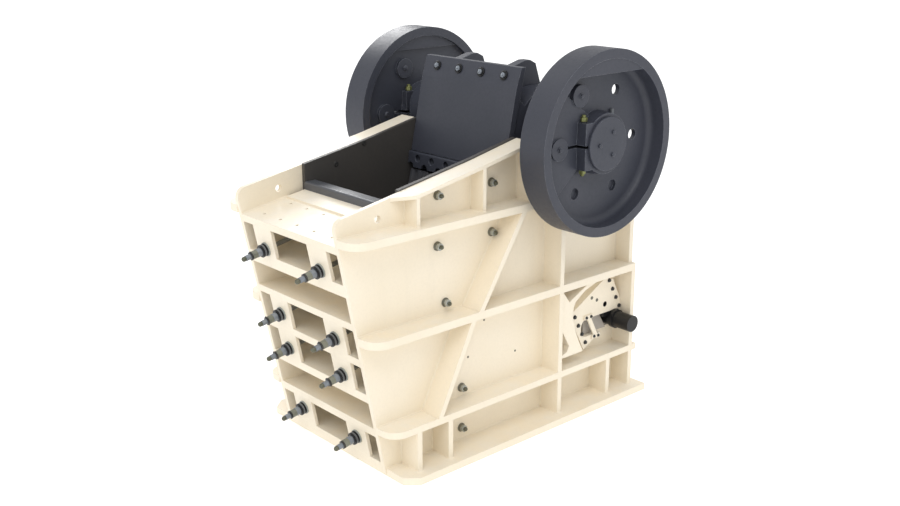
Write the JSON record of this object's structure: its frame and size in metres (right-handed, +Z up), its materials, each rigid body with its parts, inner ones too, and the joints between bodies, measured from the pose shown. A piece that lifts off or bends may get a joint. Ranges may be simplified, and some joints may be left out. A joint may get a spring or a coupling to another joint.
{
  "type": "jaw crusher",
  "caption": "Single-toggle jaw crusher with a welded plate frame, twin flywheels, leaning front with spring-loaded tension bolts and an open feed chamber.",
  "frame": {"origin": "middle of the floor box, on the floor", "axes": "+X along the eccentric shaft, -Y towards the leaning front with the tension bolts, +Y towards the toggle end, +Z up"},
  "size_m": [2.642, 3.5986, 3.434],
  "materials": {
    "cream_paint": "satin cream paint on welded plate",
    "slate_paint": "satin dark blue-grey paint on castings",
    "dark_liner": "near-black wear plate",
    "manganese_casting": "dark as-cast wear part",
    "machined_steel": "grey oiled steel",
    "black_paint": "satin black paint"
  },
  "bodies": {
    "frame": {"base_flanges": "cream_paint", "base_uprights": "cream_paint", "bearing_housing_left": "slate_paint", "bearing_housing_right": "slate_paint", "curved_webs": "cream_paint", "deck_pad": "cream_paint", "deck_plate": "cream_paint", "fixed_jaw_die": "manganese_casting", "fixed_jaw_top_bar": "slate_paint", "front_columns": "cream_paint", "front_shelves": "cream_paint", "front_wall": "cream_paint", "level_ribs": "cream_paint", "lower_cheek_plate_left": "dark_liner", "lower_cheek_plate_right": "dark_liner", "main_uprights": "cream_paint", "rear_ties": "cream_paint", "setting_covers": "cream_paint", "setting_cylinder_left": "black_paint", "setting_cylinder_right": "black_paint", "setting_wedge_ends": "cream_paint", "side_plate_left": "cream_paint", "side_plate_right": "cream_paint", "slanting_ribs": "cream_paint", "tension_bolts": "machined_steel", "tension_rods": "machined_steel", "toggle_beam": "cream_paint", "toggle_plate": "cream_paint", "top_flanges": "cream_paint", "top_uprights": "cream_paint", "upper_cheek_plate_left": "dark_liner", "upper_cheek_plate_right": "dark_liner", "window_straps": "cream_paint"},
    "shaft": {"eccentric_shaft": "machined_steel", "flywheel_left": "slate_paint", "flywheel_right": "slate_paint", "shaft_caps": "slate_paint"},
    "swing_jaw": {"jaw_clamp_bar": "slate_paint", "jaw_guard_plate": "slate_paint", "pitman": "slate_paint", "pitman_head_lugs": "slate_paint", "swing_jaw_die": "manganese_casting"}
  },
  "joints": [
    {"name": "shaft_turn", "type": "hinge", "parent": "frame", "child": "shaft", "pos_m": [0, 0.794, 2.634], "axis": [1, 0, 0], "continuous": true},
    {"name": "jaw_swing", "type": "hinge", "parent": "frame", "child": "swing_jaw", "pos_m": [0, 0.794, 2.634], "axis": [1, 0, 0], "range_deg": [-0.4, 0.4]}
  ]
}
